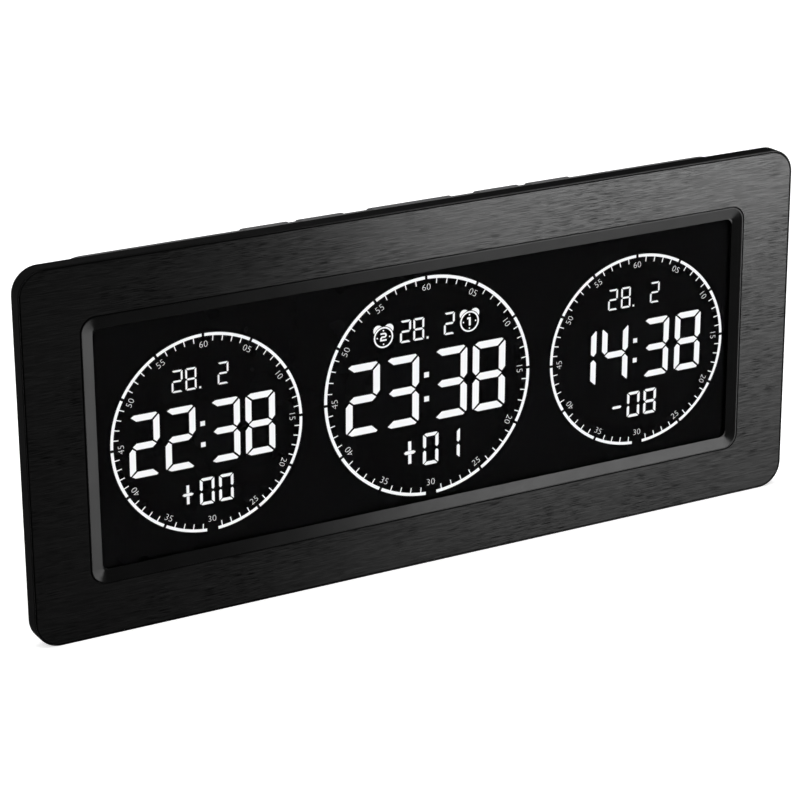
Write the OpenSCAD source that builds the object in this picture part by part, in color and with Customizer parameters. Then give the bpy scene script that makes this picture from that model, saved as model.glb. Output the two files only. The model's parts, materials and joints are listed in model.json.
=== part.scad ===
// Wide desk and wall clock: a flat front plate with three round dials behind one
// window, a tapered rear casing with five keys on top, and two swing-out feet.
// X runs to the right, the face looks along -Y, Z is up. The origin is the middle
// of the plate's lower edge, on which the clock stands.

/* [Front plate] */
// Width of the front plate
plate_w = 330; // [300:1:380]
// Height of the front plate
plate_h = 143; // [130:1:170]
// Thickness of the front plate at its edge
plate_t = 6.2; // [5.8:0.1:8]
// Corner radius of the front plate
plate_r = 10; // [6:0.5:14]
// Chamfer on the plate's front edge
plate_chamfer = 0.25; // [0.1:0.05:0.4]
// Width of the moulded rim left in front round the face panel
panel_rim = 0.4; // [0.3:0.05:0.8]
// Thickness of the brushed face panel
panel_t = 0.6; // [0.4:0.1:0.9]
// Gap between the face panel and the rims round it
panel_gap = 0.2; // [0.1:0.05:0.4]
// Width of the plate's outer wall behind the face
edge_wall = 2.2; // [1.6:0.1:3]
// Thickness of the stiffening ribs behind the plate
rib_t = 1.2; // [0.8:0.1:2]
// Pitch of the stiffening ribs
rib_pitch = 17; // [12:1:24]

/* [Window] */
// Width of the frame beside the window, up to its bevel
frame_side = 23.3; // [22:0.1:27]
// Height of the frame above and below the window, up to its bevel
frame_rise = 21.1; // [20:0.1:25]
// Corner radius of the window where its bevel starts
window_r = 5.4; // [5:0.1:8]
// Width of the bevel round the window
bevel_w = 4.4; // [3:0.1:4.8]
// Depth of the bevel
bevel_depth = 1; // [0.8:0.1:1.4]
// Corner radius of the clear opening
opening_r = 2.7; // [1.5:0.1:4]
// Thickness of the lip that the window pane lies against
lip_t = 0.5; // [0.4:0.1:0.8]
// Thickness of the window pane
pane_t = 0.8; // [0.6:0.1:1.2]
// How far the pane reaches under the lip on each side
pane_lap = 2.1; // [1:0.1:2.6]
// Air gap between the pane and the display glass
pane_gap = 0.1; // [0.05:0.05:0.2]

/* [Display] */
// How far the display glass reaches past the clear opening on each side
glass_lap = 1.8; // [1.4:0.1:2]
// Thickness of each display glass
glass_t = 1.1; // [0.7:0.1:1.4]
// How far the rear glass reaches below the front one
glass_ledge = 4; // [3:0.5:5]
// Thickness of the diffuser sheet
diffuser_t = 0.4; // [0.2:0.05:0.6]
// Thickness of the light guide
guide_t = 3; // [2.2:0.1:4]
// Thickness of the reflector sheet
reflector_t = 0.25; // [0.15:0.05:0.4]
// Thickness of the two lamp strips
strip_t = 0.8; // [0.6:0.1:1]
// How far the lamps stand off their strip
led_t = 0.7; // [0.5:0.1:0.9]
// Length of each lamp along its strip
led_l = 3; // [2:0.5:4]
// Number of lamps on each strip
led_count = 5; // [3:1:7]
// Wall of the display holder
holder_wall = 1.8; // [1.4:0.1:2]
// Floor of the display holder
holder_t = 1.8; // [1.4:0.1:2.4]
// Clearance of the glass in its holder
glass_gap = 0.2; // [0.1:0.05:0.4]

/* [Rear casing] */
// How far the plate reaches past the casing on each side
casing_side = 20; // [17:0.5:20.5]
// How far the plate reaches past the casing's top and bottom
casing_drop = 4; // [3.2:0.1:4.2]
// Corner radius of the casing where it leaves the plate
casing_r = 12; // [10:0.5:14]
// Depth of the casing's straight part
casing_straight = 13.8; // [13.8:0.1:18]
// Depth of the tapered shoulder
shoulder_depth = 14; // [13:0.5:18]
// How far the shoulder draws in on each side
shoulder_inset = 8; // [6:0.5:9]
// Wall of the casing
casing_wall = 2.2; // [1.8:0.1:2.6]
// Thickness of the flange that closes the plate's back
flange_t = 1.8; // [1.4:0.1:2.2]
// Gap round the flange inside the plate's outer wall
flange_gap = 0.25; // [0.15:0.05:0.4]

/* [Keys] */
// Width of the four small keys
small_key_w = 20.4; // [16:0.2:21]
// Width of the centre key
centre_key_w = 36.7; // [24:0.1:38]
// Depth of the keys, front to back
key_d = 9.6; // [8:0.1:9.8]
// How far the keys stand above the casing
key_rise = 1.6; // [1:0.1:2.4]
// How far a key's sides draw in above the casing
key_slope = 1.5; // [0.8:0.1:2]
// Distance of the inner small keys from the middle
inner_key_x = 38; // [38:0.2:39]
// Distance of the outer small keys from the middle
outer_key_x = 61; // [61:0.2:64]
// Clearance round each key in its hole
key_gap = 0.3; // [0.2:0.05:0.4]
// Travel of a pressed key
key_travel = 0.7; // [0.4:0.1:0.8]
// Thickness of a key's hidden flange
key_flange_t = 1; // [0.8:0.1:1.4]
// How far the hidden flange reaches past the key
key_flange_lap = 0.8; // [0.6:0.1:1]
// Length of the rib under a key that presses its switch
key_rib_l = 2; // [1.4:0.1:3]

/* [Switches] */
// Side of a square switch housing
switch_w = 6; // [5:0.1:6.4]
// Height of a switch housing
switch_h = 3.5; // [3:0.1:4.5]
// Radius of a switch stem
stem_r = 1.7; // [1.2:0.1:2]
// How far a switch stem stands above its housing
stem_rise = 1.3; // [1:0.1:2]
// How deep a switch stem sits in its housing
stem_in = 2; // [1.4:0.1:2.2]
// Clearance round a switch stem
stem_gap = 0.08; // [0.05:0.01:0.1]

/* [Circuit boards] */
// Thickness of the circuit boards
board_t = 1.6; // [1.2:0.1:2]
// Width of the main board
main_board_w = 190; // [160:1:200]
// Distance of the main board above the battery bay
board_bay_gap = 4.7; // [3:0.1:6]
// Distance of the main board below the key board
board_key_gap = 9.4; // [6:0.2:12]
// Distance of the main board from the display holder
board_standoff = 3; // [2:0.1:3.4]
// Side of the controller chip
chip_w = 14; // [10:0.5:16]
// Thickness of the controller chip
chip_t = 1.6; // [1.2:0.1:2.4]
// Radius of the quartz crystal can
crystal_r = 1.5; // [1:0.1:2]
// Length of the quartz crystal can
crystal_l = 8; // [6:0.5:9]
// Radius of the buzzer
buzzer_r = 11; // [8:0.5:12]
// Thickness of the buzzer
buzzer_t = 3.5; // [2.5:0.1:5]
// Distance of the buzzer from the middle
buzzer_x = 44; // [40:1:50]
// Distance of the buzzer's middle below the casing's top
buzzer_drop = 37; // [32:1:40]
// Radius of the sound holes
sound_hole_r = 0.9; // [0.6:0.1:1.2]
// Radius of the ring of sound holes
sound_ring_r = 5; // [4:0.5:7]
// Number of sound holes in the ring
sound_hole_count = 8; // [5:1:10]

/* [Battery bay] */
// Radius of a cell
cell_r = 7.25; // [7.25:0.05:7.4]
// Length of a cell with its nub
cell_l = 50.5; // [49.5:0.1:51]
// Radius of a cell's nub
cell_nub_r = 2.75; // [2:0.05:3]
// Length of a cell's nub
cell_nub_l = 1.3; // [1:0.1:1.6]
// Clearance round the cells
cell_gap = 0.3; // [0.2:0.05:0.5]
// Space for the contacts at each end of the cells
contact_space = 2.6; // [2:0.1:3.4]
// Thickness of the contact strips
contact_t = 0.4; // [0.3:0.05:0.6]
// Width of the contact strips
contact_w = 8; // [6:0.5:10]
// Wall of the battery bay
bay_wall = 1.6; // [1.2:0.1:2]
// Height of the bay's lower side above the table
bay_z = 18; // [17:0.5:20]
// Thickness of the battery door
door_t = 2; // [1.6:0.1:2.4]
// How far the door reaches past the bay on each side
door_lap = 3; // [2.2:0.1:4]
// Gap round the door in its seat
door_gap = 0.3; // [0.2:0.05:0.5]
// Corner radius of the door
door_r = 2.5; // [1.5:0.1:4]
// Depth of the skirt that steadies the door in the bay
door_skirt = 1.2; // [0.8:0.1:1.4]

/* [Power inlet] */
// Radius of the power socket
socket_r = 3.2; // [2.8:0.1:3.4]
// Depth of the power socket
socket_depth = 9.5; // [8:0.5:11]
// Radius of the socket's centre pin
socket_pin_r = 0.9; // [0.6:0.05:1.1]
// Length of the power jack behind the casing wall
jack_l = 12; // [11.5:0.5:15]
// Side of the square power jack
jack_w = 9; // [8:0.5:10]
// Height of the power jack above the table
jack_z = 40; // [34:1:60]

/* [Wall hooks] */
// Radius of the round entry of a keyhole
hook_r = 4.2; // [3.6:0.1:4.6]
// Width of the keyhole's slot
hook_slot_w = 4.4; // [3.4:0.1:4.6]
// Length of the slot from the entry's middle to its end's middle
hook_slot_l = 9; // [7:0.5:11]
// Distance of the keyholes from the middle
hook_x = 85; // [80:1:100]
// Distance of the keyholes' entries below the casing's top
hook_drop = 31; // [27:1:38]

/* [Feet] */
// Distance of a foot's hinge pin from the casing's side
foot_in = 33; // [28:0.5:36]
// How far a foot reaches back from its pin
foot_reach = 52; // [44:1:56]
// Height of a foot's top above the table
foot_h = 65; // [56:1:70]
// Thickness of a foot
foot_t = 4; // [3:0.1:4.4]
// Width of a foot at its top, past the pin
foot_top_w = 12; // [9:0.5:14]
// Radius of the hollow curve along a foot's back
foot_curve_r = 54; // [50:1:54]
// Radius of the hinge barrel on a foot
barrel_r = 2.6; // [2.4:0.1:2.8]
// Radius of a foot's hinge pin
foot_pin_r = 1.5; // [1.2:0.1:1.6]
// Running clearance round a hinge pin
pin_gap = 0.05; // [0.02:0.01:0.08]
// Clearance of a folded foot in its recess
foot_gap = 0.4; // [0.3:0.05:0.6]
// Height of the lower pin ear above the table
ear_z = 13; // [12.5:0.1:14]
// Height of the lower pin ear itself
ear_h = 5.5; // [4:0.1:6]
// How far a foot starts behind its pin, beside the lower ear
foot_notch = 6; // [5.4:0.1:8]
// Thickness of the rubber pad under a foot
pad_t = 1.2; // [0.8:0.1:2]
// Length of the rubber pad
pad_l = 18; // [12:1:24]

/* [Screws] */
// Radius of the small screws' shafts
screw_r = 1.1; // [0.9:0.05:1.25]
// Radius of the small screws' heads
screw_head_r = 2.3; // [1.9:0.1:2.4]
// Thickness of the small screws' heads
screw_head_t = 1.3; // [1:0.1:1.6]
// Radius of the bosses that the screws bite into
boss_r = 2.9; // [2.6:0.1:3]
// Clearance of a screw in its boss
screw_gap = 0.05; // [0.02:0.01:0.08]
// Clearance of a screw in the piece that it holds
screw_play = 0.3; // [0.2:0.05:0.4]

/* [Leads] */
// Radius of the insulated leads
lead_r = 0.6; // [0.4:0.05:0.7]
// Thickness of the flat flexes
flex_t = 0.2; // [0.15:0.05:0.3]
// Width of the display flex
flex_w = 110; // [80:1:120]
// Width of the key board's flex
key_flex_w = 12; // [8:0.5:14]

/* [Hidden] */
$fn = 64;

// Overrun of every cut past the face it opens
cut = 1;

// Outlines tied to the plate's
casing_w = plate_w - 2 * casing_side;
casing_h = plate_h - 2 * casing_drop;
window_w = plate_w - 2 * frame_side;
window_h = plate_h - 2 * frame_rise;

// Heights
mid_z = plate_h / 2;
casing_top = mid_z + casing_h / 2;

// Depths, from the face back
face_y = -plate_t / 2;
plate_back = plate_t / 2;
front_wall = bevel_depth + lip_t + pane_t + pane_gap;
pane_y = face_y + bevel_depth + lip_t;
glass_y = face_y + front_wall;
rear_glass_y = glass_y + glass_t;
diffuser_y = rear_glass_y + glass_t;
guide_y = diffuser_y + diffuser_t;
reflector_y = guide_y + guide_t;
holder_y = reflector_y + reflector_t;
holder_back = holder_y + holder_t;
main_board_y = holder_back + board_standoff;
flange_y = plate_back - flange_t;
shoulder_y = plate_back + casing_straight;
back_y = shoulder_y + shoulder_depth;
inner_back = back_y - casing_wall;

// Window and holder
opening_w = window_w - 2 * bevel_w;
opening_h = window_h - 2 * bevel_w;
pane_w = opening_w + 2 * pane_lap;
pane_h = opening_h + 2 * pane_lap;
glass_w = opening_w + 2 * glass_lap;
glass_h = opening_h + 2 * glass_lap;
guide_w = glass_w - 2 * led_t;
holder_inner_w = guide_w + 2 * (led_t + strip_t + glass_gap);
holder_top = mid_z + glass_h / 2 + glass_gap;
holder_bottom = mid_z - glass_h / 2 - glass_ledge - glass_gap;
holder_inner_h = holder_top - holder_bottom;
holder_mid_z = (holder_top + holder_bottom) / 2;

// Fixings of the holder: share of the half width, and side (1 above, -1 below)
holder_fixing_shares = [[-0.8, 1], [0.8, 1], [-0.8, -1], [-0.45, -1], [0.45, -1], [0.8, -1]];
holder_ear_z = holder_inner_h / 2 + holder_wall + boss_r;
ear_y = holder_back - holder_t;

// Fixings of the casing's flange, beside the casing
flange_fixing_x = (plate_w / 2 - edge_wall + casing_w / 2) / 2;
flange_fixing_shares = [-0.74, 0, 0.74];

// Height of a lamp as a share of the light guide's thickness
lamp_share = 0.6;

// Width of the controller's dome as a share of its carrier
dome_share = 0.8;

// Depth of the key board's screws as a share of the room above the board
key_screw_share = 0.7;

// Width of a contact pad as a share of the cell's nub
contact_pad_share = 0.8;

// Bend of a key's side: shares of its slope and of its rise
key_bend_shares = [0.35, 0.75];

// Distance of a lead from the middle of its pair as a share of the lead's radius
lead_pitch_share = 1.5;

// Keys, left to right
key_xs = [-outer_key_x, -inner_key_x, 0, inner_key_x, outer_key_x];
key_ws = [small_key_w, small_key_w, centre_key_w, small_key_w, small_key_w];
key_y = plate_back + casing_straight / 2 + key_gap;
key_flange_top = casing_top - casing_wall;
key_flange_z = key_flange_top - key_flange_t;
stem_top = key_flange_z - key_rib_l;
switch_top = stem_top - stem_rise;
key_board_top = switch_top - switch_h;
key_board_z = key_board_top - board_t;
key_board_d = key_d + key_flange_lap;
key_fixing_out = outer_key_x + small_key_w / 2 + key_flange_lap + boss_r + key_gap;
key_fixing_in = (inner_key_x - small_key_w / 2 + centre_key_w / 2) / 2;
key_fixing_xs = [-key_fixing_out, -key_fixing_in, key_fixing_in, key_fixing_out];
key_boss_r = min(boss_r, (inner_key_x - small_key_w / 2 - centre_key_w / 2) / 2 - key_flange_lap - key_gap);
key_board_w = 2 * (key_fixing_out + boss_r);
key_screw_bite = (casing_top - casing_wall - key_board_top) * key_screw_share;

// Battery bay
bay_w = cell_l + 2 * contact_space;
bay_h = 3 * 2 * cell_r + 4 * cell_gap;
bay_d = 2 * cell_r + cell_gap;
bay_mid = bay_z + bay_h / 2;
door_y = back_y - door_t;
bay_floor = door_y - bay_d;
cell_y = bay_floor + cell_r + cell_gap / 2;
cell_pitch = 2 * cell_r + cell_gap;
door_w = bay_w + 2 * door_lap;
door_h = bay_h + 2 * door_lap;

// Main board, between the battery bay and the key board
bay_top = bay_z + bay_h + door_lap + bay_wall;
main_board_z = bay_top + board_bay_gap;
main_board_h = key_board_z - board_key_gap - main_board_z;
main_board_mid = main_board_z + main_board_h / 2;
board_fixing_x = main_board_w / 2 - 2 * boss_r;
board_fixing_z = main_board_h / 2 - 2 * boss_r;
buzzer_z = casing_top - buzzer_drop;
hook_z = casing_top - hook_drop;

// Feet: the pin stands inside the recess that a folded foot fills
foot_x = casing_w / 2 - foot_in;
foot_pin_y = back_y - barrel_r - foot_gap;
recess_floor = foot_pin_y - barrel_r - foot_gap;
recess_top = foot_h + foot_gap;
recess_in = foot_x - foot_reach - foot_gap;
recess_out = foot_x + barrel_r + foot_gap;
recess_wall = casing_wall;
pin_top = recess_top + ear_h - recess_wall / 2;
barrel_z = ear_z + ear_h + foot_gap;

// Power jack
jack_wall = casing_w / 2 - casing_wall;
jack_y = holder_back + jack_w / 2 + 2 * glass_gap;

// A solid of depth t that starts at y, with its outline drawn in X and Z
module slab(y, t) {
    translate([0, y + t, 0]) rotate([90, 0, 0]) linear_extrude(t) children();
}

// A solid along X, with its outline drawn in Y and Z
module bar(x, l) {
    translate([x, 0, 0]) rotate([90, 0, 90]) linear_extrude(l) children();
}

module rod_y(y, l, r) {
    translate([0, y, 0]) rotate([-90, 0, 0]) cylinder(h = l, r = r);
}

module rod_x(x, l, r) {
    translate([x, 0, 0]) rotate([0, 90, 0]) cylinder(h = l, r = r);
}

module rod_z(z, l, r) {
    translate([0, 0, z]) cylinder(h = l, r = r);
}

module rounded_rect(w, h, r) {
    square([w - 2 * r, h], center = true);
    square([w, h - 2 * r], center = true);
    for (sx = [-1, 1], sz = [-1, 1])
        translate([sx * (w / 2 - r), sz * (h / 2 - r)]) circle(r);
}

// A block with round corners whose sides draw in by inset over its depth
module tapered_block(y, depth, w, h, r, inset) {
    bar(r - w / 2, w - 2 * r)
        polygon([[y, -h / 2], [y + depth, inset - h / 2], [y + depth, h / 2 - inset], [y, h / 2]]);
    translate([0, 0, r - h / 2]) linear_extrude(h - 2 * r)
        polygon([[-w / 2, y], [w / 2, y], [w / 2 - inset, y + depth], [inset - w / 2, y + depth]]);
    for (sx = [-1, 1], sz = [-1, 1])
        translate([sx * (w / 2 - r), y, sz * (h / 2 - r)]) rotate([-90, 0, 0])
            cylinder(h = depth, r1 = r, r2 = r - inset);
}

// A pan-head screw whose head lies behind y, with its shaft going forward from there
module screw(y, l) {
    rod_y(y - l, l, screw_r);
    rod_y(y, screw_head_t, screw_head_r);
}

module at_holder_fixings() {
    for (f = holder_fixing_shares)
        translate([f[0] * holder_inner_w / 2, 0, holder_mid_z + f[1] * holder_ear_z]) children();
}

module at_flange_fixings() {
    for (sx = [-1, 1], s = flange_fixing_shares)
        translate([sx * flange_fixing_x, 0, mid_z + s * plate_h / 2]) children();
}

module at_board_fixings() {
    for (sx = [-1, 1], sz = [-1, 1])
        translate([sx * board_fixing_x, 0, main_board_mid + sz * board_fixing_z]) children();
}

// Front plate moulding: rim, bevelled window, pane seat, bosses and ribs
module front_bezel() {
    color([0.09, 0.09, 0.095]) difference() {
        union() {
            difference() {
                translate([0, 0, mid_z]) union() {
                    slab(face_y + plate_chamfer, plate_t - plate_chamfer)
                        rounded_rect(plate_w, plate_h, plate_r);
                    translate([0, face_y + plate_chamfer, 0]) mirror([0, 1, 0])
                        tapered_block(0, plate_chamfer, plate_w, plate_h, plate_r, plate_chamfer);
                }
                translate([0, 0, mid_z]) slab(face_y + front_wall, plate_t)
                    rounded_rect(plate_w - 2 * edge_wall, plate_h - 2 * edge_wall, plate_r - edge_wall);
            }
            at_holder_fixings() rod_y(glass_y, ear_y - glass_y, boss_r);
            at_flange_fixings() rod_y(glass_y, flange_y - glass_y, boss_r);
            bezel_ribs();
        }
        translate([0, 0, mid_z]) {
            difference() {
                slab(face_y - cut, panel_t + cut)
                    rounded_rect(plate_w - 2 * plate_chamfer - 2 * panel_rim + 2 * panel_gap,
                        plate_h - 2 * plate_chamfer - 2 * panel_rim + 2 * panel_gap,
                        plate_r - plate_chamfer - panel_rim + panel_gap);
                slab(face_y - 2 * cut, panel_t + 4 * cut)
                    rounded_rect(window_w + 2 * panel_rim, window_h + 2 * panel_rim, window_r + panel_rim);
            }
            tapered_block(face_y, bevel_depth, window_w, window_h, window_r, bevel_w);
            slab(face_y - cut, plate_t) rounded_rect(opening_w, opening_h, opening_r);
            slab(pane_y, plate_t)
                rounded_rect(pane_w + 2 * glass_gap, pane_h + 2 * glass_gap, opening_r + pane_lap);
        }
        at_holder_fixings() rod_y(glass_y, plate_t * 2, screw_r + screw_gap);
        at_flange_fixings() rod_y(glass_y - screw_r, plate_t, screw_r + screw_gap);
    }
}

// Ribs in the parts of the plate that reach past the casing
module bezel_ribs() {
    rib_in = casing_w / 2 + casing_wall;
    rib_l = plate_w / 2 - edge_wall / 2 - rib_in;
    rib_half = plate_h / 2 - plate_r;
    for (sx = [-1, 1], z = [-rib_half : rib_pitch : rib_half])
        translate([sx * (rib_in + rib_l / 2) - rib_l / 2, glass_y, mid_z + z - rib_t / 2])
            cube([rib_l, flange_y - glass_y, rib_t]);
}

// Thin brushed panel let into the face
module face_panel() {
    inset = plate_chamfer + panel_rim;
    color([0.03, 0.03, 0.032]) translate([0, 0, mid_z]) slab(face_y, panel_t) difference() {
        rounded_rect(plate_w - 2 * inset, plate_h - 2 * inset, plate_r - inset);
        rounded_rect(window_w + 2 * panel_rim + 2 * panel_gap,
            window_h + 2 * panel_rim + 2 * panel_gap, window_r + panel_rim + panel_gap);
    }
}

module window_pane() {
    color([0.05, 0.05, 0.06, 0.5]) translate([0, 0, mid_z]) slab(pane_y, pane_t)
        rounded_rect(pane_w, pane_h, opening_r + pane_lap - glass_gap);
}

module display_front_glass() {
    color([0.02, 0.02, 0.03]) translate([0, 0, mid_z]) slab(glass_y, glass_t)
        square([glass_w, glass_h], center = true);
}

// The rear glass reaches below the front one, where its tracks meet the flex
module display_rear_glass() {
    color([0.04, 0.04, 0.05]) translate([0, 0, mid_z - glass_ledge / 2]) slab(rear_glass_y, glass_t)
        square([glass_w, glass_h + glass_ledge], center = true);
}

module diffuser_sheet() {
    color([0.92, 0.92, 0.9]) translate([0, 0, mid_z]) slab(diffuser_y, diffuser_t)
        square([guide_w, glass_h], center = true);
}

module light_guide() {
    color([0.85, 0.9, 0.92, 0.6]) translate([0, 0, mid_z]) slab(guide_y, guide_t)
        square([guide_w, glass_h], center = true);
}

module reflector_sheet() {
    color([0.95, 0.95, 0.95]) translate([0, 0, mid_z]) slab(reflector_y, reflector_t)
        square([guide_w, glass_h], center = true);
}

// Two narrow boards that stand at the ends of the light guide
module lamp_strips() {
    color([0.9, 0.88, 0.8]) for (sx = [-1, 1])
        translate([sx * (guide_w / 2 + led_t + strip_t / 2), guide_y + guide_t / 2, mid_z])
            cube([strip_t, guide_t, glass_h], center = true);
}

module backlight_lamps() {
    pitch = glass_h / led_count;
    color([0.95, 0.93, 0.6]) for (sx = [-1, 1], i = [0 : led_count - 1])
        translate([sx * (guide_w / 2 + led_t / 2), guide_y + guide_t / 2,
                mid_z + (i + 0.5) * pitch - glass_h / 2])
            cube([led_t, guide_t * lamp_share, led_l], center = true);
}

// Tray that holds the glass and the backlight against the window
module display_holder() {
    outer_w = holder_inner_w + 2 * holder_wall;
    outer_h = holder_inner_h + 2 * holder_wall;
    color([0.85, 0.86, 0.84]) difference() {
        union() {
            difference() {
                translate([0, 0, holder_mid_z]) slab(glass_y, holder_back - glass_y)
                    rounded_rect(outer_w, outer_h, holder_wall);
                translate([0, 0, holder_mid_z]) slab(glass_y - cut, holder_y - glass_y + cut)
                    square([holder_inner_w, holder_inner_h], center = true);
            }
            at_holder_fixings() {
                rod_y(ear_y, holder_t, boss_r);
                translate([-boss_r, ear_y, 0]) cube([2 * boss_r, holder_t, boss_r]);
            }
            for (f = holder_fixing_shares)
                translate([f[0] * holder_inner_w / 2 - boss_r, ear_y,
                        holder_mid_z + f[1] * (holder_ear_z - boss_r / 2) - boss_r / 2 - holder_wall / 2])
                    cube([2 * boss_r, holder_t, boss_r + holder_wall]);
            at_board_fixings() rod_y(holder_back, board_standoff, boss_r);
        }
        at_holder_fixings() rod_y(ear_y - cut, holder_t + 2 * cut, screw_r + screw_play);
        at_board_fixings() rod_y(holder_y + holder_t / 2, board_standoff + holder_t, screw_r + screw_gap);
        translate([0, (glass_y + diffuser_y) / 2, holder_bottom - holder_wall / 2])
            cube([flex_w + 2 * glass_ledge, diffuser_y - glass_y + 2 * glass_gap, 2 * holder_wall],
                center = true);
    }
}

module holder_screws() {
    color("silver") at_holder_fixings() screw(holder_back, holder_back - glass_y - screw_r);
}

// Flat flex from the ledge of the rear glass, round the holder, up to the main board
module display_flex() {
    drop_z = holder_bottom - holder_wall - flex_t - glass_gap;
    ledge_z = mid_z - glass_h / 2 - glass_ledge;
    lap_z = main_board_z + 2 * glass_ledge;
    back = main_board_y - flex_t;
    color([0.75, 0.5, 0.15]) {
        translate([-flex_w / 2, rear_glass_y - flex_t, drop_z])
            cube([flex_w, flex_t, ledge_z + glass_ledge - glass_gap - drop_z]);
        translate([-flex_w / 2, rear_glass_y - flex_t, drop_z])
            cube([flex_w, back + flex_t - rear_glass_y + flex_t, flex_t]);
        translate([-flex_w / 2, back, drop_z]) cube([flex_w, flex_t, lap_z - drop_z]);
    }
}

module main_board() {
    color([0.08, 0.35, 0.16]) difference() {
        translate([0, 0, main_board_mid]) slab(main_board_y, board_t)
            rounded_rect(main_board_w, main_board_h, boss_r);
        at_board_fixings() rod_y(main_board_y - cut, board_t + 2 * cut, screw_r + screw_play);
    }
}

module board_screws() {
    color("silver") at_board_fixings()
        screw(main_board_y + board_t, board_t + board_standoff);
}

// Controller under a low epoxy dome on a square carrier
module controller_chip() {
    y = main_board_y + board_t;
    color([0.04, 0.04, 0.045]) translate([0, 0, main_board_mid]) {
        translate([0, y + chip_t / 4, 0]) cube([chip_w, chip_t / 2, chip_w], center = true);
        intersection() {
            translate([0, y + chip_t - chip_w, 0]) sphere(chip_w);
            slab(y, chip_w) circle(chip_w / 2 * dome_share);
        }
    }
}

module quartz_crystal() {
    color([0.8, 0.8, 0.82]) translate([chip_w * 2, main_board_y + board_t + crystal_r, main_board_mid])
        rod_x(0, crystal_l, crystal_r);
}

// Sounder glued inside the back wall over its ring of holes
module buzzer() {
    color([0.1, 0.1, 0.1]) translate([-buzzer_x, 0, buzzer_z]) difference() {
        rod_y(inner_back - buzzer_t, buzzer_t, buzzer_r);
        rod_y(inner_back - buzzer_t / 2, buzzer_t, sound_ring_r + 2 * sound_hole_r);
    }
}

module key_board() {
    color([0.08, 0.35, 0.16]) difference() {
        translate([-key_board_w / 2, key_y - key_board_d / 2, key_board_z])
            cube([key_board_w, key_board_d, board_t]);
        for (x = key_fixing_xs) translate([x, key_y, 0])
            rod_z(key_board_z - cut, board_t + 2 * cut, screw_r + screw_play);
    }
}

module key_board_screws() {
    color("silver") for (x = key_fixing_xs) translate([x, key_y, 0]) {
        rod_z(key_board_z, board_t + key_screw_bite, screw_r);
        rod_z(key_board_z - screw_head_t, screw_head_t, screw_head_r);
    }
}

// Flat flex that hangs from the key board and laps the back of the main board
module key_flex() {
    y = main_board_y + board_t;
    x = (inner_key_x + centre_key_w / 2) / 2;
    front = key_y - key_board_d / 2 + cut;
    lap_z = main_board_z + main_board_h - 4 * flex_t - boss_r;
    color([0.75, 0.5, 0.15]) translate([x, 0, 0]) {
        translate([0, y, lap_z]) cube([key_flex_w, flex_t, key_board_z - lap_z]);
        translate([0, min(y, front), key_board_z - flex_t])
            cube([key_flex_w, abs(front - y) + board_t + flex_t, flex_t]);
    }
}

// Five square switches, one under each key
module switch_housings() {
    color([0.12, 0.12, 0.13]) for (x = key_xs) translate([x, key_y, 0]) difference() {
        translate([0, 0, key_board_top + switch_h / 2])
            cube([switch_w, switch_w, switch_h], center = true);
        rod_z(switch_top - stem_in - key_travel - stem_gap, switch_h, stem_r + stem_gap);
    }
}

// One key: sloped cap, body in its hole, retaining flange and pressing rib
module key(i) {
    w = key_ws[i];
    flange_l = key_flange_t - key_gap / 3;
    color([0.1, 0.1, 0.105]) translate([key_xs[i], key_y, 0]) {
        intersection() {
            translate([0, key_d / 2, 0]) rotate([90, 0, 0]) linear_extrude(key_d)
                key_profile(w);
            translate([-w / 2, 0, 0]) rotate([90, 0, 90]) linear_extrude(w)
                key_profile(key_d);
        }
        translate([0, 0, key_flange_z + flange_l / 2])
            cube([w + 2 * key_flange_lap, key_d + key_flange_lap, flange_l], center = true);
        translate([0, 0, stem_top + key_rib_l / 2 + cut / 4])
            cube([switch_w, stem_r, key_rib_l + cut / 2], center = true);
    }
}

// Side view of a key: straight in its hole, then sloped in to a flat top
module key_profile(w) {
    top = casing_top + key_rise;
    bend_x = w / 2 - key_slope * key_bend_shares[0];
    bend_z = casing_top + key_rise * key_bend_shares[1];
    polygon([[-w / 2, key_flange_z], [w / 2, key_flange_z], [w / 2, casing_top], [bend_x, bend_z],
        [w / 2 - key_slope, top], [key_slope - w / 2, top], [-bend_x, bend_z], [-w / 2, casing_top]]);
}

module key_outer_left() { key(0); }
module key_inner_left() { key(1); }
module key_centre() { key(2); }
module key_inner_right() { key(3); }
module key_outer_right() { key(4); }

// Round stem that a key pushes into its switch
module stem(i) {
    color([0.8, 0.75, 0.6]) translate([key_xs[i], key_y, 0])
        rod_z(switch_top - stem_in, stem_in + stem_rise, stem_r);
}

module stem_outer_left() { stem(0); }
module stem_inner_left() { stem(1); }
module stem_centre() { stem(2); }
module stem_inner_right() { stem(3); }
module stem_outer_right() { stem(4); }

// The casing's outer form behind the plate
module casing_form() {
    translate([0, 0, mid_z]) {
        slab(plate_back, casing_straight) rounded_rect(casing_w, casing_h, casing_r);
        tapered_block(shoulder_y, shoulder_depth, casing_w, casing_h, casing_r, shoulder_inset);
    }
}

// The casing's inside, one wall smaller all round
module casing_hollow() {
    w = casing_w - 2 * casing_wall;
    h = casing_h - 2 * casing_wall;
    r = casing_r - casing_wall;
    depth = shoulder_depth - casing_wall;
    translate([0, 0, mid_z]) {
        slab(flange_y - cut, shoulder_y - flange_y + cut) rounded_rect(w, h, r);
        tapered_block(shoulder_y, depth, w, h, r, shoulder_inset * depth / shoulder_depth);
    }
}

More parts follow.
